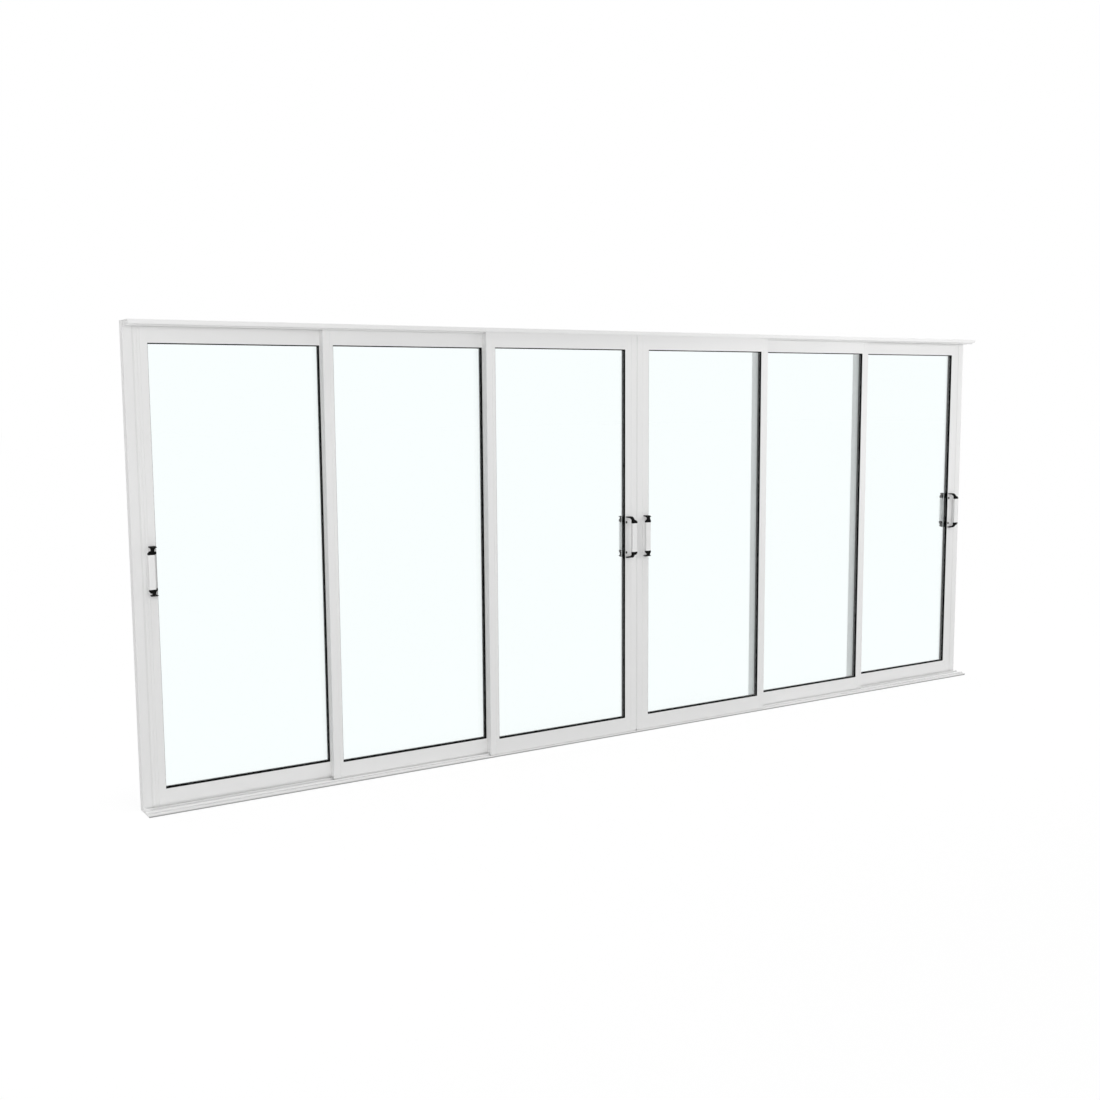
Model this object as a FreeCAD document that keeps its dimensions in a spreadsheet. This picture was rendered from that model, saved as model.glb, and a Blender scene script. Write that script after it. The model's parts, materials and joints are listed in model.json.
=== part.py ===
import FreeCAD, Part
import math
import os
import Sketcher

# Six-panel glass sliding patio door. Millimetres, X along the wall, Z up, Y positive
# away from the side the door is looked at from. The origin is the middle of the
# sill's underside. Panels are counted from the left: panels 3 and 4 run on the front
# track, 2 and 5 on the middle track, 1 and 6 on the back track.

os.makedirs("parts", exist_ok=True)
doc = FreeCAD.newDocument("PatioDoor")

SIZES = {
    # outer frame
    "door_width": 5127,
    "door_height": 2100,
    "face_setback": 6.5,
    "track_pitch": 43.5,
    "rear_margin": 6.5,
    # head section
    "head_web": 4,
    "head_lip_height": 19,
    "head_lip_wall": 1.5,
    "guide_height": 25,
    "guide_wall": 4,
    # sill section
    "sill_web": 9,
    "sill_nose_height": 12,
    "sill_nose_depth": 2,
    "sill_rebate_height": 6,
    "sill_rebate_depth": 5,
    "rail_top": 18.5,
    "rail_wall": 5,
    "rail_foot": 10,
    "rail_foot_height": 1,
    # jamb section
    "jamb_face": 38,
    "jamb_flange": 3,
    "jamb_pocket": 18,
    # sash sections
    "sash_depth": 37.5,
    "sash_lift": 14.5,
    "sash_head_gap": 13,
    "stile_width": 48,
    "lock_stile_width": 58.1,
    "lock_tongue": 13,
    "lock_tongue_wall": 21,
    "meeting_stile_width": 71.8,
    "meeting_gap": 5,
    "jamb_gap": 5,
    "bottom_rail_height": 74,
    "top_rail_height": 79,
    "running_gap": 5,
    "edge_round": 1.5,
    "groove_width": 1.6,
    "groove_depth": 1.2,
    "bead_line": 16,
    "lock_line_inner": 32,
    "lock_line_outer": 44,
    "meeting_line": 37.6,
    # sealed glass unit
    "bead_wall": 3,
    "gasket_depth": 3,
    "gasket_lip": 4,
    "gasket_side_lip": 1,
    "gasket_setback": 0.4,
    "pane_wall": 4,
    "spacer_depth": 12,
    "spacer_height": 9,
    "rebate_depth": 12,
    "edge_cover": 10,
    # rollers
    "wheel_radius": 12,
    "wheel_groove": 3,
    "wheel_inset": 90,
    "wheel_slot": 30,
    "seat_gap": 0.3,
    # pull handles
    "handle_height": 1046,
    "handle_span": 214,
    "handle_inset": 18,
    "handle_reach": 38.6,
    "handle_sweep": 13,
    "grip_length": 148,
    "grip_width": 30,
    "grip_depth": 12,
    "foot_width": 28,
    "foot_wall": 5,
    "end_wall": 9,
    "neck_pinch": 7.5,
    "arm_swell": 5.5,
}

sheet = doc.addObject("Spreadsheet::Sheet", "Sizes")
for row, (alias, number) in enumerate(SIZES.items(), start=1):
    sheet.set("A%d" % row, alias)
    sheet.set("B%d" % row, "%g" % number)
    sheet.setAlias("B%d" % row, alias)
doc.recompute()


class Length:
    """A length that knows its value and the sheet expression it comes from."""

    def __init__(self, value, text):
        self.value = float(value)
        self.text = text

    def __add__(self, other):
        other = as_length(other)
        return Length(self.value + other.value, "(%s + %s)" % (self.text, other.text))

    __radd__ = __add__

    def __sub__(self, other):
        other = as_length(other)
        return Length(self.value - other.value, "(%s - %s)" % (self.text, other.text))

    def __rsub__(self, other):
        return as_length(other) - self

    def __mul__(self, factor):
        return Length(self.value * factor, "(%s * %s)" % (self.text, repr(factor)))

    __rmul__ = __mul__

    def __truediv__(self, factor):
        return Length(self.value / factor, "(%s / %s)" % (self.text, repr(factor)))

    def __neg__(self):
        return Length(-self.value, "(-%s)" % self.text)


def as_length(item):
    return item if isinstance(item, Length) else Length(item, repr(float(item)))


def size(alias):
    return Length(getattr(sheet, alias), "Sizes.%s" % alias)


def place(item, x=0, y=0, z=0):
    for axis, amount in (("x", x), ("y", y), ("z", z)):
        item.setExpression("Placement.Base.%s" % axis, as_length(amount).text)


def origin_plane(body, role):
    return next(f for f in body.Origin.OriginFeatures if f.Role == role)


def sketch_on(body, role, name):
    sketch = body.newObject("Sketcher::SketchObject", name)
    sketch.AttachmentSupport = [(origin_plane(body, role), "")]
    sketch.MapMode = "FlatFace"
    return sketch


def pin_point(sketch, edge, end, point):
    for kind, amount in (("DistanceX", point[0]), ("DistanceY", point[1])):
        amount = as_length(amount)
        index = sketch.addConstraint(Sketcher.Constraint(kind, edge, end, amount.value))
        sketch.setExpression("Constraints[%d]" % index, amount.text)


def bend_radius(start, stop, rise):
    """Radius of the arc between two corners that rises this far from its chord."""
    run, climb = as_length(stop[0]) - start[0], as_length(stop[1]) - start[1]
    value = (run.value ** 2 + climb.value ** 2) / (8 * rise.value) + rise.value / 2
    return Length(value, "((%s^2 + %s^2) / (8 * %s) + %s / 2)"
                  % (run.text, climb.text, rise.text, rise.text))


def outline(sketch, points, bends=None):
    """Closed outline, each corner dimensioned from the sketch origin. The side that
    leaves corner k is straight, or an arc when bends[k] gives its rise from the chord
    and the side of travel it swells to: +1 left, -1 right."""
    bends = bends or {}
    corners = [FreeCAD.Vector(as_length(x).value, as_length(y).value, 0) for x, y in points]
    count = len(corners)
    first = sketch.GeometryCount
    ends = []
    for k in range(count):
        start, stop = corners[k], corners[(k + 1) % count]
        if k in bends:
            rise, swell = bends[k]
            radius = bend_radius(points[k], points[(k + 1) % count], rise)
            chord = stop - start
            across = FreeCAD.Vector(-chord.y, chord.x, 0) / chord.Length * swell
            centre = (start + stop) / 2 - across * (radius.value - rise.value)
            opening, closing = (start - centre, stop - centre)[::-swell]
            begin = math.atan2(opening.y, opening.x)
            turned = (math.atan2(closing.y, closing.x) - begin) % (2 * math.pi)
            circle = Part.Circle(centre, FreeCAD.Vector(0, 0, 1), radius.value)
            sketch.addGeometry(Part.ArcOfCircle(circle, begin, begin + turned), False)
            ends.append((1, 2)[::-swell])
        else:
            sketch.addGeometry(Part.LineSegment(start, stop), False)
            ends.append((1, 2))
    for k in range(count):
        following = (k + 1) % count
        sketch.addConstraint(Sketcher.Constraint("Coincident", first + k, ends[k][1],
                                                 first + following, ends[following][0]))
    for k in range(count):
        pin_point(sketch, first + k, ends[k][0], points[k])
    for k, (rise, swell) in bends.items():
        radius = bend_radius(points[k], points[(k + 1) % count], rise)
        index = sketch.addConstraint(Sketcher.Constraint("Radius", first + k, radius.value))
        sketch.setExpression("Constraints[%d]" % index, radius.text)


def rectangle(sketch, left, low, right, high):
    outline(sketch, [(left, low), (right, low), (right, high), (left, high)])


def new_body(name):
    return doc.addObject("PartDesign::Body", name)


def pad(body, sketch, length, both_ways=False):
    feature = body.newObject("PartDesign::Pad", sketch.Name + "_pad")
    feature.Profile = sketch
    feature.setExpression("Length", length.text)
    feature.Midplane = both_ways
    sketch.Visibility = False
    body.Tip = feature
    return feature


def pocket(body, sketch, length, both_ways=False, reverse=False):
    feature = body.newObject("PartDesign::Pocket", sketch.Name + "_pocket")
    feature.Profile = sketch
    feature.setExpression("Length", length.text)
    feature.Midplane = both_ways
    feature.Reversed = reverse
    sketch.Visibility = False
    body.Tip = feature
    return feature


width = size("door_width")
height = size("door_height")
half_width = width / 2
sash_depth = size("sash_depth")
frame_depth = size("face_setback") + size("track_pitch") * 2 + sash_depth + size("rear_margin")
front = -frame_depth / 2
front_track = front + size("face_setback")
middle_track = front_track + size("track_pitch")
back_track = middle_track + size("track_pitch")
track_faces = [front_track, middle_track, back_track]
sash_low = size("sash_lift")
sash_high = height - size("sash_head_gap")
sight_low = sash_low + size("bottom_rail_height")
sight_high = sash_high - size("top_rail_height")
sight_height = sight_high - sight_low
stile = size("stile_width")
lock = size("lock_stile_width")
meeting = size("meeting_stile_width")
half_gap = size("meeting_gap") / 2
jamb_inner = half_width - size("jamb_face")
lock_edge = jamb_inner - size("jamb_gap")
sight_width = (lock_edge - lock - stile * 2 - meeting - half_gap) / 3
unit_depth = size("pane_wall") * 2 + size("spacer_depth")
rebate_end = size("bead_wall") + size("gasket_depth") * 2 + unit_depth
rail_slot = size("rail_wall") + size("running_gap") * 2
guide_slot = size("guide_wall") + size("running_gap") * 2
guide_low = height - size("guide_height")
sash_height = sash_high - sash_low
breadths = {"interlock": stile, "lock": lock, "meeting": meeting}
face_lines = {"interlock": [size("bead_line")],
              "lock": [size("lock_line_inner"), size("lock_line_outer")],
              "meeting": [size("meeting_line")]}
nodes = {}


def node(label, *items):
    """One named node: the single item itself, or several solids kept side by side."""
    if len(items) == 1:
        piece = items[0]
    else:
        piece = doc.addObject("Part::Compound", label)
        piece.Links = list(items)
    piece.Label = label
    nodes[label] = piece


# Head: a flat web with a short lip along its front and rear edges and a guide fin
# over the middle of each track.
def level_bar(name, near, far, low, high):
    """Straight section that runs the whole width of the door."""
    body = new_body(name)
    sketch = sketch_on(body, "YZ_Plane", name + "_outline")
    rectangle(sketch, near, low, far, high)
    pad(body, sketch, width, both_ways=True)
    return body


def guide_fin(number, face):
    middle = face + sash_depth / 2
    half = size("guide_wall") / 2
    return level_bar("guide_%d" % number, middle - half, middle + half,
                     guide_low, height - size("head_web"))


# Sill: a low web with a nose at the front and rear edge, undercut below, and a foot
# under each running rail.
def sill_section():
    body = new_body("sill_profile")
    sketch = sketch_on(body, "YZ_Plane", "sill_outline")
    web = size("sill_web")
    nose = size("sill_nose_height")
    under = size("sill_rebate_height")
    back = size("sill_rebate_depth")
    points = [(front + back, 0), (front + back, under), (front, under), (front, nose),
              (front + size("sill_nose_depth"), nose), (front + size("sill_nose_depth"), web),
              (-front - size("sill_nose_depth"), web), (-front - size("sill_nose_depth"), nose),
              (-front, nose), (-front, under), (-front - back, under), (-front - back, 0)]
    outline(sketch, points)
    pad(body, sketch, width, both_ways=True)
    return body


def running_rail(number, face):
    body = new_body("rail_%d_profile" % number)
    sketch = sketch_on(body, "YZ_Plane", "rail_%d_outline" % number)
    middle = face + sash_depth / 2
    half = size("rail_wall") / 2
    foot = size("rail_foot") / 2
    web = size("sill_web")
    top = size("rail_top")
    cap = size("edge_round")
    foot_top = web + size("rail_foot_height")
    outline(sketch, [(middle - foot, web), (middle + foot, web), (middle + foot, foot_top),
                     (middle + half, foot_top), (middle + half, top - cap),
                     (middle + half - cap, top), (middle - half + cap, top),
                     (middle - half, top - cap), (middle - half, foot_top),
                     (middle - foot, foot_top)])
    pad(body, sketch, width, both_ways=True)
    return body


head_under = height - size("head_web")
lip_low = height - size("head_lip_height")
lip_wall = size("head_lip_wall")
node("head", level_bar("head_web_section", front, -front, head_under, height))
node("head_lips",
     level_bar("head_front_lip", front, front + lip_wall, lip_low, head_under),
     level_bar("head_rear_lip", -front - lip_wall, -front, lip_low, head_under))
node("head_guides", *[guide_fin(k + 1, face) for k, face in enumerate(track_faces)])
node("sill", sill_section())
node("track_rails", *[running_rail(k + 1, face) for k, face in enumerate(track_faces)])


# Jamb: closes the back track only, with a pocket that takes the tongue of the stile.
# Its ends are coped over the sill, the running rail, the guide fin and the rear lip.
def jamb(label, side):
    body = new_body(label + "_profile")
    sketch = sketch_on(body, "XY_Plane", label + "_outline")
    outer = half_width * side
    inner = jamb_inner * side
    pocket_end = (jamb_inner + size("jamb_pocket")) * side
    flange = back_track + size("jamb_flange")
    rear_flange = back_track + sash_depth - size("jamb_flange")
    outline(sketch, [(outer, back_track), (inner, back_track), (inner, flange),
                     (pocket_end, flange), (pocket_end, rear_flange), (inner, rear_flange),
                     (inner, -front), (outer, -front)])
    pad(body, sketch, head_under - size("sill_web"))
    place(body, z=size("sill_web"))
    coped = body
    for met in ("sill", "track_rails", "head_guides", "head_lips"):
        cut = doc.addObject("Part::Cut", "%s_over_%s" % (label, met))
        cut.Base = coped
        cut.Tool = nodes[met]
        coped = cut
    return coped


def grooved_face(start, stop, depth_line, inward, lines, side):
    """Corners of one sash face from start to stop, with a V groove at each line."""
    corners = []
    half = size("groove_width") / 2
    going_out = as_length(stop).value > as_length(start).value
    for line in sorted(lines, key=lambda item: item.value, reverse=not going_out):
        near, far = (line - half, line + half) if going_out else (line + half, line - half)
        corners += [(near * side, depth_line),
                    (line * side, depth_line + size("groove_depth") * inward),
                    (far * side, depth_line)]
    return corners


def stile_piece(name, glass_edge, track_face, side, kind):
    """Upright sash member; side is +1 where it stands to the right of the glass."""
    breadth = breadths[kind]
    body = new_body(name)
    section = sketch_on(body, "XY_Plane", name + "_section")
    lines = face_lines[kind]
    ease = size("edge_round")
    edge = breadth * side
    eased = (breadth - ease) * side
    corners = [(0, 0)]
    corners += grooved_face(0, breadth, as_length(0), 1, lines, side)
    corners += [(eased, 0), (edge, ease)]
    if kind == "lock":
        reach = (breadth + size("lock_tongue")) * side
        near = (sash_depth - size("lock_tongue_wall")) / 2
        far = (sash_depth + size("lock_tongue_wall")) / 2
        corners += [(edge, near), (reach, near), (reach, far), (edge, far)]
    corners += [(edge, sash_depth - ease), (eased, sash_depth)]
    corners += grooved_face(breadth, 0, sash_depth, -1, lines, side)
    corners += [(0, sash_depth), (0, rebate_end),
                (size("rebate_depth") * side, rebate_end),
                (size("rebate_depth") * side, size("bead_wall")), (0, size("bead_wall"))]
    outline(section, corners)
    pad(body, section, sash_height)
    notch = sketch_on(body, "YZ_Plane", name + "_notches")
    middle = sash_depth / 2
    low_notch = size("rail_top") - sash_low + size("running_gap")
    high_notch = guide_low - size("running_gap") - sash_low
    rectangle(notch, middle - rail_slot / 2, -size("running_gap"), middle + rail_slot / 2, low_notch)
    rectangle(notch, middle - guide_slot / 2, high_notch,
              middle + guide_slot / 2, sash_height + size("running_gap"))
    pocket(body, notch, (breadth + size("lock_tongue")) * 4, both_ways=True)
    place(body, x=glass_edge, y=track_face, z=sash_low)
    return body


def rail_piece(name, glass_left, track_face, top):
    """Level sash member between the stiles, grooved for the glass and for its track."""
    body = new_body(name)
    section = sketch_on(body, "YZ_Plane", name + "_section")
    middle = sash_depth / 2
    if top:
        high = size("top_rail_height")
        slot = guide_slot / 2
        slot_end = guide_low - size("running_gap") - sight_high
        rebate = size("rebate_depth")
        bead_line = as_length(0)
        track_line = high
        base = sight_high
    else:
        high = size("bottom_rail_height")
        slot = rail_slot / 2
        slot_end = size("wheel_slot")
        rebate = high - size("rebate_depth")
        bead_line = high
        track_line = as_length(0)
        base = sash_low
    outline(section, [(0, track_line), (middle - slot, track_line), (middle - slot, slot_end),
                      (middle + slot, slot_end), (middle + slot, track_line),
                      (sash_depth, track_line), (sash_depth, bead_line), (rebate_end, bead_line),
                      (rebate_end, rebate), (size("bead_wall"), rebate),
                      (size("bead_wall"), bead_line), (0, bead_line)])
    pad(body, section, sight_width)
    place(body, x=glass_left, y=track_face, z=base)
    return body


def pane(name, glass_left, track_face, depth):
    box = doc.addObject("Part::Box", name)
    cover = size("edge_cover")
    box.setExpression("Length", (sight_width + cover * 2).text)
    box.setExpression("Width", size("pane_wall").text)
    box.setExpression("Height", (sight_height + cover * 2).text)
    place(box, x=glass_left - cover, y=track_face + depth, z=sight_low - cover)
    return box


def spacer_ring(name, glass_left, track_face, depth):
    """Bar between the two panes, flush with the edge of the glass opening."""
    body = new_body(name)
    sketch = sketch_on(body, "XZ_Plane", name + "_section")
    spread = size("spacer_height")
    rectangle(sketch, -spread, -spread, sight_width + spread, sight_height + spread)
    rectangle(sketch, 0, 0, sight_width, sight_height)
    pad(body, sketch, size("spacer_depth"))
    place(body, x=glass_left, y=track_face + depth + size("spacer_depth"), z=sight_low)
    return body


def gasket(name, glass_left, track_face, depth, outward):
    """Glazing gasket: a flat strip between bead and pane, and a lip that turns out over
    the bead's edge almost to the sash face."""
    body = new_body(name)
    strip = sketch_on(body, "XZ_Plane", name + "_strip")
    spread = size("edge_cover")
    side_lip = size("gasket_side_lip")
    lip = size("gasket_lip")
    rectangle(strip, -spread, -spread, sight_width + spread, sight_height + spread)
    rectangle(strip, side_lip, lip, sight_width - side_lip, sight_height - lip)
    pad(body, strip, size("gasket_depth"))
    turned = sketch_on(body, "XZ_Plane", name + "_lip")
    rectangle(turned, 0, 0, sight_width, sight_height)
    rectangle(turned, side_lip, lip, sight_width - side_lip, sight_height - lip)
    reach = size("bead_wall") - size("gasket_setback")
    if outward < 0:
        pad(body, turned, reach + size("gasket_depth"))
    else:
        pad(body, turned, reach).Reversed = True
    place(body, x=glass_left, y=track_face + depth + size("gasket_depth"), z=sight_low)
    return body


def wheel(name, x, track_face):
    """Grooved wheel astride the running rail, held between the walls of the rail slot."""
    body = new_body(name)
    sketch = sketch_on(body, "XY_Plane", name + "_section")
    half = rail_slot / 2 - size("seat_gap")
    tread = size("wheel_radius") - size("wheel_groove")
    seat = size("rail_wall") / 2 + size("seat_gap") * 2
    outline(sketch, [(0, -half), (size("wheel_radius"), -half), (tread, -seat), (tread, seat),
                     (size("wheel_radius"), half), (0, half)])
    turn = body.newObject("PartDesign::Revolution", name + "_turn")
    turn.Profile = sketch
    turn.ReferenceAxis = (sketch, ["V_Axis"])
    turn.Angle = 360
    sketch.Visibility = False
    body.Tip = turn
    place(body, x=x, y=track_face + sash_depth / 2,
          z=size("rail_top") + size("seat_gap") + tread)
    return body


def grip(name, x, y):
    body = new_body(name)
    sketch = sketch_on(body, "XY_Plane", name + "_section")
    half = size("grip_width") / 2
    deep = size("grip_depth") / 2
    rectangle(sketch, -half, -deep, half, deep)
    bar = pad(body, sketch, size("grip_length"))
    doc.recompute()
    rounded = body.newObject("PartDesign::Fillet", name + "_round")
    upright = [e for e in range(1, len(bar.Shape.Edges) + 1)
               if abs(bar.Shape.Edges[e - 1].tangentAt(0).z) > 0.9]
    rounded.Base = (bar, ["Edge%d" % e for e in upright])
    rounded.setExpression("Radius", (size("grip_depth") * 0.4).text)
    body.Tip = rounded
    place(body, x=x, y=y, z=size("handle_height") - size("grip_length") / 2)
    return body


def bracket(name, x, face, outward, sweep_side, up):
    """Swan-neck arm: level at the stile, pinched to a neck, then curved to the grip's end."""
    half_span = size("handle_span") / 2
    grip_end = size("grip_length") / 2
    foot = size("foot_wall")
    shoulder = grip_end + size("end_wall")
    reach_in = size("handle_reach") - size("grip_depth") / 2
    reach_out = size("handle_reach") + size("grip_depth") / 2
    side_body = new_body(name + "_side")
    side = sketch_on(side_body, "YZ_Plane", name + "_side_view")
    outline(side,
            [(as_length(0), half_span * up), (reach_in * outward * 0.6, half_span * up),
             (reach_out * outward, shoulder * up), (reach_out * outward, grip_end * up),
             (reach_in * outward, grip_end * up),
             (reach_in * outward * 0.5, (half_span - foot) * up),
             (as_length(0), (half_span - foot) * up)],
            {1: (size("arm_swell"), up * outward), 4: (size("arm_swell"), -up * outward)})
    pad(side_body, side, size("grip_width") * 4, both_ways=True)
    place(side_body, x=x, y=face, z=size("handle_height"))
    front_body = new_body(name + "_front")
    view = sketch_on(front_body, "XZ_Plane", name + "_front_view")
    half_foot = size("foot_width") / 2
    end = size("grip_width") / 2
    sweep = size("handle_sweep") * sweep_side
    outline(view,
            [(-half_foot, half_span * up), (half_foot, half_span * up),
             (half_foot, (half_span - foot) * up), (sweep + end, shoulder * up),
             (sweep + end, grip_end * up), (sweep - end, grip_end * up),
             (sweep - end, shoulder * up), (-half_foot, (half_span - foot) * up)],
            {2: (size("neck_pinch"), -up), 6: (size("neck_pinch"), -up)})
    pad(front_body, view, size("handle_reach") * 4, both_ways=True)
    place(front_body, x=x, y=face, z=size("handle_height"))
    common = doc.addObject("Part::Common", name)
    common.Base = side_body
    common.Tool = front_body
    return common


def handle_set(label, glass_edge, track_face, side):
    """Pull handle on both faces of the stile that stands on the given side."""
    x = glass_edge + size("handle_inset") * side
    grip_x = x + size("handle_sweep") * side
    grips = []
    brackets = []
    for tag, face, outward in (("front", track_face, -1), ("rear", track_face + sash_depth, 1)):
        grips.append(grip("%s_%s_grip" % (label, tag), grip_x,
                          face + size("handle_reach") * outward))
        for word, up in (("upper", 1), ("lower", -1)):
            brackets.append(bracket("%s_%s_%s_bracket" % (label, tag, word), x, face,
                                    outward, side, up))
    node(label + "_grips", *grips)
    node(label + "_brackets", *brackets)


node("left_jamb", jamb("left_jamb", -1))
node("right_jamb", jamb("right_jamb", 1))


def sliding_panel(number, glass_left, track_face, left_kind, right_kind):
    label = "panel_%d" % number
    glass_right = glass_left + sight_width
    left = stile_piece(label + "_left_stile", glass_left, track_face, -1, left_kind)
    right = stile_piece(label + "_right_stile", glass_right, track_face, 1, right_kind)
    node(label + "_stiles", left, right)
    node(label + "_rails",
         rail_piece(label + "_bottom_rail", glass_left, track_face, False),
         rail_piece(label + "_top_rail", glass_left, track_face, True))
    first_pane = size("bead_wall") + size("gasket_depth")
    spacer = first_pane + size("pane_wall")
    second_pane = spacer + size("spacer_depth")
    rear_gasket = second_pane + size("pane_wall")
    node(label + "_glass",
         pane(label + "_outer_pane", glass_left, track_face, first_pane),
         pane(label + "_inner_pane", glass_left, track_face, second_pane))
    node(label + "_seals",
         gasket(label + "_front_gasket", glass_left, track_face, size("bead_wall"), -1),
         spacer_ring(label + "_spacer", glass_left, track_face, spacer),
         gasket(label + "_rear_gasket", glass_left, track_face, rear_gasket, 1))
    inset = size("wheel_inset")
    node(label + "_rollers",
         wheel(label + "_left_wheel", glass_left + inset, track_face),
         wheel(label + "_right_wheel", glass_right - inset, track_face))
    for side, edge, kind in ((-1, glass_left, left_kind), (1, glass_right, right_kind)):
        if kind != "interlock":
            handle_set(label, edge, track_face, side)


pitch = sight_width + stile
meeting_edge = half_gap + meeting
sliding_panel(1, -(meeting_edge + sight_width + pitch * 2), back_track, "lock", "interlock")
sliding_panel(2, -(meeting_edge + sight_width + pitch), middle_track, "interlock", "interlock")
sliding_panel(3, -(meeting_edge + sight_width), front_track, "interlock", "meeting")
sliding_panel(4, meeting_edge, front_track, "meeting", "interlock")
sliding_panel(5, meeting_edge + pitch, middle_track, "interlock", "interlock")
sliding_panel(6, meeting_edge + pitch * 2, back_track, "interlock", "lock")

doc.recompute()
for item in doc.Objects:
    if "Invalid" in item.State or "Error" in item.State:
        raise RuntimeError("%s did not compute: %s" % (item.Name, item.State))
for label, piece in nodes.items():
    if piece.Shape.isNull() or not piece.Shape.isValid() or not piece.Shape.Solids:
        raise RuntimeError("%s has no valid solid" % label)
for label, piece in nodes.items():
    piece.Shape.exportStep("parts/%s.step" % label)
print("%d nodes, %d solids" % (len(nodes), sum(len(p.Shape.Solids) for p in nodes.values())))
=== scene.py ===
import bpy
import bmesh
import json
import math
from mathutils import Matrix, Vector


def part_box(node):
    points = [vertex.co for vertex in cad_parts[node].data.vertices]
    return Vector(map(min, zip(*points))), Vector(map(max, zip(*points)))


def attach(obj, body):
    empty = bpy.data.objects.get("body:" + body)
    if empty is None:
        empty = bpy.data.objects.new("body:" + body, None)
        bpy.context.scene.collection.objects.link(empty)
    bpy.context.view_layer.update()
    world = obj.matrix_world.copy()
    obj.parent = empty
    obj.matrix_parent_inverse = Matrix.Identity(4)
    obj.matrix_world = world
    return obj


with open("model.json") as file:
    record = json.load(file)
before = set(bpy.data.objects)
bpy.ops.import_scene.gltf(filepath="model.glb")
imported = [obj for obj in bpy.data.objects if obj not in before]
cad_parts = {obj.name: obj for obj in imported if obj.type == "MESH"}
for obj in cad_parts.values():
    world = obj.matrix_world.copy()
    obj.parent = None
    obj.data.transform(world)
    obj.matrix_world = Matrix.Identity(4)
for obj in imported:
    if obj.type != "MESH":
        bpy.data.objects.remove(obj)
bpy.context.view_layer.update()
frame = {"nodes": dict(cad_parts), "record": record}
nodes = frame["nodes"]
scene = bpy.context.scene
print("frame loaded:", len(nodes), "nodes")

panelNumbers = (1, 2, 3, 4, 5, 6)
closingSides = {1: -1, 3: 1, 4: -1, 6: 1}  # which stile carries the handle, -1 left, +1 right


cameraSettings = {
    "place": (-3.9658, -5.5234, 1.7808),
    "turnDegrees": (83.1931, 0.3641, -32.1807),
    "lens": 42.53,
    "sensor": 36.0,
}


def makeCamera(s):
    data = bpy.data.cameras.new("patioCamera")
    data.sensor_fit = "HORIZONTAL"
    data.sensor_width = s["sensor"]
    data.lens = s["lens"]
    camera = bpy.data.objects.new("patioCamera", data)
    camera.location = s["place"]
    camera.rotation_euler = [math.radians(a) for a in s["turnDegrees"]]
    scene.collection.objects.link(camera)
    scene.camera = camera


studioSettings = {
    "worldLevel": 0.36,
    "suns": {
        "frontSun": {"from": (-0.52, -0.85, -0.035), "level": 0.96, "softDegrees": 8.0},
        "leftSun": {"from": (-0.85, -0.52, -0.03), "level": 0.10, "softDegrees": 40.0},
        "rightSun": {"from": (0.26, -0.97, -0.03), "level": 0.12, "softDegrees": 40.0},
        "farRightSun": {"from": (0.74, -0.67, -0.03), "level": 0.06, "softDegrees": 40.0},
        "rearSun": {"from": (-0.15, 0.90, 0.25), "level": 1.8, "softDegrees": 50.0},
        "topSun": {"from": (0.05, -0.12, 1.0), "level": 1.50, "softDegrees": 12.0},
    },
    "panels": {
        "rightPanel": {"place": (2.0, -2.2, 2.2), "aim": (1.6, 0.0, 1.9), "size": (2.2, 0.6), "power": 18.0},
        "leftPanel": {"place": (-3.0, -2.2, 2.2), "aim": (-2.1, 0.0, 1.8), "size": (2.0, 0.6), "power": 13.0},
    },
    "floorReach": 60.0,
    "floorDrop": 0.0012,
    "floorTone": (0.49, 0.49, 0.49),
    "floorGlow": 1.09,
    "floorShare": 0.85,
    "seenRays": ("Is Camera Ray", "Is Glossy Ray", "Is Transmission Ray"),  # these meet white
}


def mathNode(tree, operation, first, second):
    node = tree.nodes.new("ShaderNodeMath")
    node.operation = operation
    for socket, item in zip(node.inputs, (first, second)):
        if isinstance(item, (int, float)):
            socket.default_value = item
        else:
            tree.links.new(item, socket)
    return node.outputs[0]


def rayMask(tree, kinds):  # 1 on rays of the named kinds
    path = tree.nodes.new("ShaderNodeLightPath")
    total = path.outputs[kinds[0]]
    for kind in kinds[1:]:
        total = mathNode(tree, "MAXIMUM", total, path.outputs[kind])
    return total


def mixInto(tree, share, plain, seen, out):  # the seen shader takes the given share of the plain one
    mix = tree.nodes.new("ShaderNodeMixShader")
    tree.links.new(share, mix.inputs[0])
    tree.links.new(plain.outputs[0], mix.inputs[1])
    tree.links.new(seen.outputs[0], mix.inputs[2])
    tree.links.new(mix.outputs[0], out.inputs[0])


def placeLamp(name, data, place, heading):
    lamp = bpy.data.objects.new(name, data)
    lamp.location = place
    lamp.rotation_euler = heading.to_track_quat("-Z", "Y").to_euler()
    lamp.visible_glossy = False
    lamp.visible_transmission = False
    scene.collection.objects.link(lamp)


def makeWorld(s):
    world = bpy.data.worlds.new("studioWorld")
    scene.world = world
    world.use_nodes = True
    tree = world.node_tree
    tree.nodes.clear()
    out = tree.nodes.new("ShaderNodeOutputWorld")
    seen = tree.nodes.new("ShaderNodeBackground")
    seen.inputs["Strength"].default_value = 1.0
    seen.inputs["Color"].default_value = (1, 1, 1, 1)
    lit = tree.nodes.new("ShaderNodeBackground")
    lit.inputs["Strength"].default_value = s["worldLevel"]
    lit.inputs["Color"].default_value = (1, 1, 1, 1)
    mixInto(tree, rayMask(tree, s["seenRays"]), lit, seen, out)


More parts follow.
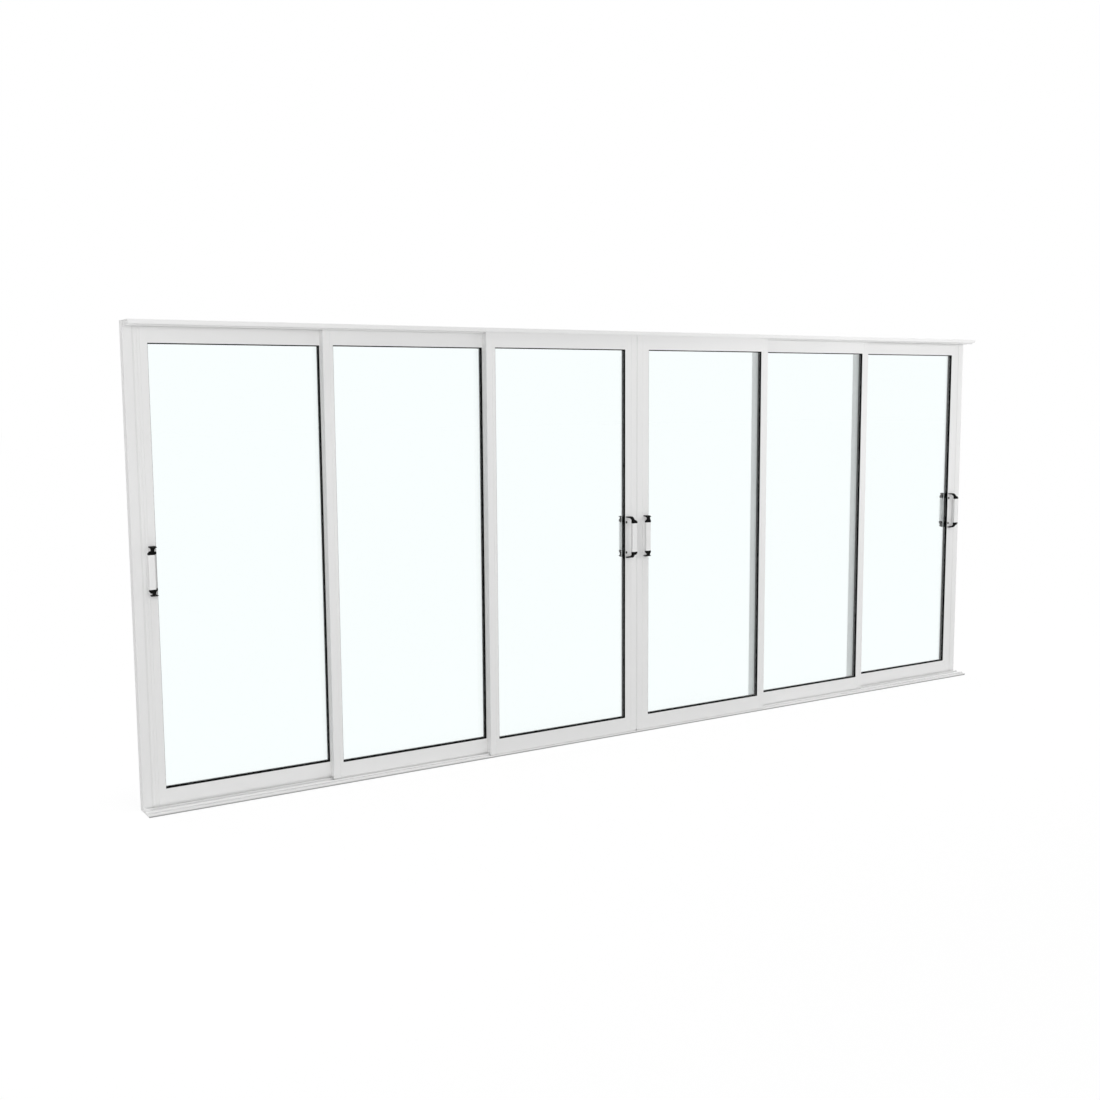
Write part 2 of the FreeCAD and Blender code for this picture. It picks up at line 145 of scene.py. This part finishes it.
def makeLamps(s):
    for name, lamp in s["suns"].items():
        data = bpy.data.lights.new(name, "SUN")
        data.energy = lamp["level"]
        data.angle = math.radians(lamp["softDegrees"])
        placeLamp(name, data, (0, 0, 0), -Vector(lamp["from"]))
    for name, lamp in s["panels"].items():
        data = bpy.data.lights.new(name, "AREA")
        data.shape = "RECTANGLE"
        data.size, data.size_y = lamp["size"]
        data.energy = lamp["power"]
        placeLamp(name, data, lamp["place"], Vector(lamp["aim"]) - Vector(lamp["place"]))


def makeFloor(s):
    ground = bmesh.new()
    bmesh.ops.create_grid(ground, x_segments=1, y_segments=1, size=s["floorReach"])
    bmesh.ops.translate(ground, vec=(0, 0, -s["floorDrop"]), verts=ground.verts)
    mesh = bpy.data.meshes.new("studioFloor")
    ground.to_mesh(mesh)
    ground.free()
    floor = bpy.data.objects.new("studioFloor", mesh)
    scene.collection.objects.link(floor)
    floor.visible_shadow = False  # the low front suns reach the whole door
    paint = bpy.data.materials.new("studioFloorPaint")
    paint.use_nodes = True
    tree = paint.node_tree
    tree.nodes.clear()
    out = tree.nodes.new("ShaderNodeOutputMaterial")
    matt = tree.nodes.new("ShaderNodeBsdfDiffuse")
    matt.inputs["Color"].default_value = (*s["floorTone"], 1)
    glow = tree.nodes.new("ShaderNodeEmission")
    glow.inputs["Strength"].default_value = s["floorGlow"]
    share = mathNode(tree, "MULTIPLY", rayMask(tree, s["seenRays"]), s["floorShare"])
    mixInto(tree, share, matt, glow, out)
    mesh.materials.append(paint)


makeCamera(cameraSettings)
makeWorld(studioSettings)
makeLamps(studioSettings)
makeFloor(studioSettings)
scene.view_settings.view_transform = "Standard"
print("camera, light and floor set")


def newGroup(name, inputs, outputs):
    group = bpy.data.node_groups.new(name, "ShaderNodeTree")
    for label, kind, value in inputs:
        socket = group.interface.new_socket(label, in_out="INPUT", socket_type="NodeSocket" + kind)
        socket.default_value = value
    for label, kind in outputs:
        group.interface.new_socket(label, in_out="OUTPUT", socket_type="NodeSocket" + kind)
    return group, group.nodes.new("NodeGroupInput"), group.nodes.new("NodeGroupOutput")


# fine surface grain: a height for bump, and a tone that drifts slowly
def makeGrainGroup():
    group, given, result = newGroup(
        "surfaceGrain",
        [("Grain Scale", "Float", 900.0), ("Cloud Scale", "Float", 2.0), ("Cloud Amount", "Float", 0.02),
         ("Stretch", "Vector", (1.0, 1.0, 1.0))],
        [("Height", "Float"), ("Tone", "Float")])
    place = group.nodes.new("ShaderNodeTexCoord")
    stretched = group.nodes.new("ShaderNodeVectorMath")
    stretched.operation = "MULTIPLY"
    group.links.new(place.outputs["Object"], stretched.inputs[0])
    group.links.new(given.outputs["Stretch"], stretched.inputs[1])
    grain = group.nodes.new("ShaderNodeTexNoise")
    grain.inputs["Detail"].default_value = 2.0
    group.links.new(stretched.outputs[0], grain.inputs["Vector"])
    group.links.new(given.outputs["Grain Scale"], grain.inputs["Scale"])
    cloud = group.nodes.new("ShaderNodeTexNoise")
    cloud.inputs["Detail"].default_value = 3.0
    group.links.new(place.outputs["Object"], cloud.inputs["Vector"])
    group.links.new(given.outputs["Cloud Scale"], cloud.inputs["Scale"])
    swing = mathNode(group, "SUBTRACT", cloud.outputs[0], 0.5)
    swing = mathNode(group, "MULTIPLY", swing, given.outputs["Cloud Amount"])
    tone = mathNode(group, "ADD", swing, 1.0)
    group.links.new(grain.outputs[0], result.inputs["Height"])
    group.links.new(tone, result.inputs["Tone"])
    return group


grainGroup = makeGrainGroup()


# opaque finish: grain bump, slow tone change and a roughness that follows the grain
def makeFinish(name, s):
    material = bpy.data.materials.new(name)
    material.use_nodes = True
    tree = material.node_tree
    shader = tree.nodes["Principled BSDF"]
    grain = tree.nodes.new("ShaderNodeGroup")
    grain.node_tree = grainGroup
    grain.inputs["Grain Scale"].default_value = s["grainScale"]
    grain.inputs["Cloud Scale"].default_value = s["cloudScale"]
    grain.inputs["Cloud Amount"].default_value = s["cloudAmount"]
    grain.inputs["Stretch"].default_value = s["stretch"]
    colour = tree.nodes.new("ShaderNodeVectorMath")
    colour.operation = "SCALE"
    colour.inputs[0].default_value = s["colour"]
    tree.links.new(grain.outputs["Tone"], colour.inputs["Scale"])
    tree.links.new(colour.outputs[0], shader.inputs["Base Color"])
    bump = tree.nodes.new("ShaderNodeBump")
    bump.inputs["Strength"].default_value = s["bump"]
    bump.inputs["Distance"].default_value = s["bumpDepth"]
    tree.links.new(grain.outputs["Height"], bump.inputs["Height"])
    tree.links.new(bump.outputs[0], shader.inputs["Normal"])
    spread = tree.nodes.new("ShaderNodeMapRange")
    spread.inputs["To Min"].default_value = s["roughness"] - s["roughnessSwing"]
    spread.inputs["To Max"].default_value = s["roughness"] + s["roughnessSwing"]
    tree.links.new(grain.outputs["Height"], spread.inputs["Value"])
    tree.links.new(spread.outputs[0], shader.inputs["Roughness"])
    shader.inputs["Metallic"].default_value = s["metallic"]
    shader.inputs["Specular IOR Level"].default_value = s["specular"]
    return material


finishSettings = {
    "powderCoat": {"colour": (0.80, 0.80, 0.797), "grainScale": 850.0, "cloudScale": 1.6, "cloudAmount": 0.02,
                   "stretch": (1.0, 1.0, 1.0), "bump": 0.12, "bumpDepth": 0.00015, "roughness": 0.42,
                   "roughnessSwing": 0.05, "metallic": 0.0, "specular": 0.35},
    "runningRail": {"colour": (0.80, 0.80, 0.80), "grainScale": 1400.0, "cloudScale": 3.0, "cloudAmount": 0.05,
                    "stretch": (0.02, 1.0, 1.0), "bump": 0.2, "bumpDepth": 0.0001, "roughness": 0.38,
                    "roughnessSwing": 0.08, "metallic": 0.35, "specular": 0.5},
    "blackRubber": {"colour": (0.003, 0.0035, 0.0035), "grainScale": 1200.0, "cloudScale": 9.0,
                    "cloudAmount": 0.1, "stretch": (1.0, 1.0, 1.0), "bump": 0.25, "bumpDepth": 0.0001,
                    "roughness": 0.7, "roughnessSwing": 0.08, "metallic": 0.0, "specular": 0.04},
    "sealBulb": {"colour": (0.76, 0.76, 0.755), "grainScale": 900.0, "cloudScale": 6.0, "cloudAmount": 0.08,
                 "stretch": (1.0, 1.0, 1.0), "bump": 0.15, "bumpDepth": 0.0001, "roughness": 0.62,
                 "roughnessSwing": 0.06, "metallic": 0.0, "specular": 0.15},
    "sealPile": {"colour": (0.76, 0.76, 0.75), "grainScale": 2600.0, "cloudScale": 40.0, "cloudAmount": 0.2,
                 "stretch": (1.0, 1.0, 0.05), "bump": 0.8, "bumpDepth": 0.0004, "roughness": 0.9,
                 "roughnessSwing": 0.05, "metallic": 0.0, "specular": 0.05},
    # dark grey of the painted shade strips under the sill's noses, standing in for the shadow line there
    "paintedShadeStrip": {"colour": (0.40, 0.40, 0.40), "grainScale": 700.0, "cloudScale": 8.0, "cloudAmount": 0.1,
                       "stretch": (1.0, 1.0, 1.0), "bump": 0.2, "bumpDepth": 0.0002, "roughness": 0.7,
                       "roughnessSwing": 0.06, "metallic": 0.0, "specular": 0.15},
    "rollerNylon": {"colour": (0.10, 0.10, 0.10), "grainScale": 1000.0, "cloudScale": 12.0, "cloudAmount": 0.1,
                    "stretch": (1.0, 1.0, 1.0), "bump": 0.1, "bumpDepth": 0.0001, "roughness": 0.45,
                    "roughnessSwing": 0.05, "metallic": 0.0, "specular": 0.4},
    "blackBracket": {"colour": (0.004, 0.004, 0.004), "grainScale": 1500.0, "cloudScale": 20.0,
                     "cloudAmount": 0.1, "stretch": (1.0, 1.0, 1.0), "bump": 0.15, "bumpDepth": 0.0001,
                     "roughness": 0.5, "roughnessSwing": 0.06, "metallic": 0.0, "specular": 0.06},
}
finishes = {name: makeFinish(name, s) for name, s in finishSettings.items()}

glassSettings = {
    "tint": (0.973, 1.0, 0.999), "grainScale": 4.0, "cloudScale": 0.8, "cloudAmount": 0.006,
    "refraction": 1.5, "shadowShare": 0.08,
}


def makeGlass(s):
    material = bpy.data.materials.new("clearGlass")
    material.use_nodes = True
    tree = material.node_tree
    shader = tree.nodes["Principled BSDF"]
    grain = tree.nodes.new("ShaderNodeGroup")
    grain.node_tree = grainGroup
    grain.inputs["Grain Scale"].default_value = s["grainScale"]
    grain.inputs["Cloud Scale"].default_value = s["cloudScale"]
    grain.inputs["Cloud Amount"].default_value = s["cloudAmount"]
    colour = tree.nodes.new("ShaderNodeVectorMath")
    colour.operation = "SCALE"
    colour.inputs[0].default_value = s["tint"]
    tree.links.new(grain.outputs["Tone"], colour.inputs["Scale"])
    tree.links.new(colour.outputs[0], shader.inputs["Base Color"])
    shader.inputs["Roughness"].default_value = 0.0
    shader.inputs["IOR"].default_value = s["refraction"]
    shader.inputs["Transmission Weight"].default_value = 1.0
    shade = rayMask(tree, ["Is Shadow Ray"])  # the panes throw only a faint shadow
    clear = mathNode(tree, "MULTIPLY", shade, 1.0 - s["shadowShare"])
    tree.links.new(mathNode(tree, "SUBTRACT", 1.0, clear), shader.inputs["Alpha"])
    return material


finishes["clearGlass"] = makeGlass(glassSettings)
slotFinishes = {
    "frame_coat": "powderCoat",
    "rail_metal": "runningRail",
    "clear_glass": "clearGlass",
    "black_seal": "blackRubber",
    "roller_plastic": "rollerNylon",
    "black_plastic": "blackBracket",
}
for subpart in frame["record"]["subparts"]:
    dressed = nodes[subpart["node"]]
    dressed.data.materials.clear()
    dressed.data.materials.append(finishes[slotFinishes[subpart["material_slot"]]])
print("finishes given to the frame and panels")


def finishPiece(name, mesh, finish, body):
    data = bpy.data.meshes.new(name)
    bmesh.ops.recalc_face_normals(mesh, faces=mesh.faces)
    mesh.to_mesh(data)
    mesh.free()
    data.materials.append(finishes[finish])
    piece = bpy.data.objects.new(name, data)
    scene.collection.objects.link(piece)
    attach(piece, body)


edgeSegments = 4
levelTolerance = 1e-5


# box between two corners: all its edges rounded, or those along one axis; a tapered end is narrower in X
def addBlock(mesh, low, high, bevelWidth=0.0, along=None, taper=1.0, taperEnd=1):
    made = bmesh.ops.create_cube(mesh, size=1.0)
    low, high = Vector(low), Vector(high)
    narrowed = [v for v in made["verts"] if v.co.z * taperEnd > 0]
    bmesh.ops.scale(mesh, vec=(taper, 1, 1), verts=narrowed)
    bmesh.ops.scale(mesh, vec=high - low, verts=made["verts"])
    bmesh.ops.translate(mesh, vec=(low + high) / 2, verts=made["verts"])
    if bevelWidth:
        edges = {e for v in made["verts"] for e in v.link_edges}
        if along is not None:
            edges = {e for e in edges if abs((e.verts[0].co - e.verts[1].co)[along]) > levelTolerance}
        bmesh.ops.bevel(mesh, geom=list(edges), offset=bevelWidth, offset_type="OFFSET", affect="EDGES",
                        segments=edgeSegments, profile=0.5, material=-1, clamp_overlap=True)


# cover plates beside the glass on both faces, each with two black buffers that keep a passing stile
# off the handle
coverPlateSettings = {
    "low": 0.959, "high": 1.131, "fromGlass": 0.0006, "breadth": 0.036, "wall": 0.0022, "cornerRound": 0.004,
    "bufferHeights": (0.9665, 1.1240), "bufferBreadth": 0.0066, "bufferHalf": 0.0056, "bufferRise": 0.0070,
    "bufferRound": 0.0018,
}


def makeCoverPlates(number, s):
    body = "panel_%d" % number
    side = closingSides[number]
    railLow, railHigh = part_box(body + "_rails")
    glassEdge = railHigh.x if side > 0 else railLow.x
    plates = bmesh.new()
    buffers = bmesh.new()
    for face, outward in ((railLow.y, -1), (railHigh.y, 1)):
        near = glassEdge + side * s["fromGlass"]
        far = near + side * s["breadth"]
        top = face + outward * s["wall"]
        addBlock(plates, (min(near, far), min(face, top), s["low"]),
                 (max(near, far), max(face, top), s["high"]), s["cornerRound"], 1)
        inner = near + side * s["bufferBreadth"]
        crest = top + outward * s["bufferRise"]
        for height in s["bufferHeights"]:
            addBlock(buffers, (min(near, inner), min(top, crest), height - s["bufferHalf"]),
                     (max(near, inner), max(top, crest), height + s["bufferHalf"]), s["bufferRound"])
    finishPiece("panel%dCoverPlates" % number, plates, "powderCoat", body)
    finishPiece("panel%dBuffers" % number, buffers, "blackBracket", body)


for number in closingSides:
    makeCoverPlates(number, coverPlateSettings)
print("handle cover plates made")


# black collars that thicken the brackets' shoulders above and below each grip
collarSettings = {"start": 0.0075, "stop": 0.0158, "depth": 0.0120, "narrower": 0.0008, "round": 0.0018,
                  "taper": 0.62}


def makeCollars(number, s):
    body = "panel_%d" % number
    low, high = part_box(body + "_grips")
    collars = bmesh.new()
    for near, far in ((low.y, low.y + s["depth"]), (high.y - s["depth"], high.y)):
        for bottom, top, end in ((high.z + s["start"], high.z + s["stop"], 1),
                                 (low.z - s["stop"], low.z - s["start"], -1)):
            addBlock(collars, (low.x + s["narrower"], near + s["narrower"], bottom),
                     (high.x - s["narrower"], far - s["narrower"], top), s["round"], None, s["taper"], end)
    finishPiece("panel%dCollars" % number, collars, "blackBracket", body)


for number in closingSides:
    makeCollars(number, collarSettings)
print("bracket collars made")


# bulb seals down the closing edge of each handled sash, just behind its front and rear faces
closingSealSettings = {
    "lock": {"edge": 0.0581, "reach": 0.0046},
    "meeting": {"edge": 0.0718, "reach": 0.0023},
    "setback": 0.0005, "depth": 0.006, "shy": 0.002, "round": 0.0008,
}
closingKinds = {1: "lock", 3: "meeting", 4: "meeting", 6: "lock"}


def makeClosingSeals(number, s):
    body = "panel_%d" % number
    side = closingSides[number]
    kind = s[closingKinds[number]]
    stileLow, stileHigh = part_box(body + "_stiles")
    railLow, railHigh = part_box(body + "_rails")
    near = (railHigh.x if side > 0 else railLow.x) + side * kind["edge"]
    far = near + side * kind["reach"]
    strips = bmesh.new()
    for face, inward in ((stileLow.y, 1), (stileHigh.y, -1)):
        front = face + inward * s["setback"]
        back = front + inward * s["depth"]
        addBlock(strips, (min(near, far), min(front, back), stileLow.z + s["shy"]),
                 (max(near, far), max(front, back), stileHigh.z - s["shy"]), s["round"], 2)
    finishPiece("panel%dClosingSeals" % number, strips, "sealBulb", body)


for number in closingSides:
    makeClosingSeals(number, closingSealSettings)
print("closing seals made")


# pile strips: under each sash, and down the stiles that pass one another
pileSettings = {
    "setback": 0.0012, "wall": 0.005, "drop": 0.0045, "endGap": 0.003,
    "rise": 0.0054, "breadth": 0.0065, "inset": 0.0015, "shy": 0.004,
}
rearPileSides = {2: -1, 3: -1, 4: 1, 5: 1}
frontPileSides = {1: 1, 2: 1, 5: -1, 6: -1}


def makePileStrips(number, s):
    body = "panel_%d" % number
    low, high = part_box(body + "_stiles")
    strips = bmesh.new()
    for face, inward in ((low.y, 1), (high.y, -1)):
        near = face + inward * s["setback"]
        far = near + inward * s["wall"]
        addBlock(strips, (low.x + s["endGap"], min(near, far), low.z - s["drop"]),
                 (high.x - s["endGap"], max(near, far), low.z))
    for sides, face, outward in ((frontPileSides, low.y, -1), (rearPileSides, high.y, 1)):
        if number in sides:
            side = sides[number]
            outer = (high.x if side > 0 else low.x) - side * s["inset"]
            inner = outer - side * s["breadth"]
            top = face + outward * s["rise"]
            addBlock(strips, (min(outer, inner), min(face, top), low.z + s["shy"]),
                     (max(outer, inner), max(face, top), high.z - s["shy"]))
    finishPiece("panel%dPileStrips" % number, strips, "sealPile", body)


for number in panelNumbers:
    makePileStrips(number, pileSettings)
print("pile strips made")


# dark grey strips in the rebates under the sill's front and rear noses: painted shade for the shadow line along
# the sill's bottom edges, shaped as a bed of sealant
sillShadeStripSettings = {"setback": 0.0008, "depth": 0.004, "low": 0.0003, "high": 0.0057, "endGap": 0.001}


def makeSillShadeStrips(s):
    low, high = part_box("sill")
    strips = bmesh.new()
    for face, inward in ((low.y, 1), (high.y, -1)):
        near = face + inward * s["setback"]
        far = near + inward * s["depth"]
        addBlock(strips, (low.x + s["endGap"], min(near, far), s["low"]),
                 (high.x - s["endGap"], max(near, far), s["high"]))
    finishPiece("sillPaintedShadeStrips", strips, "paintedShadeStrip", "frame")


makeSillShadeStrips(sillShadeStripSettings)
print("bedding made")
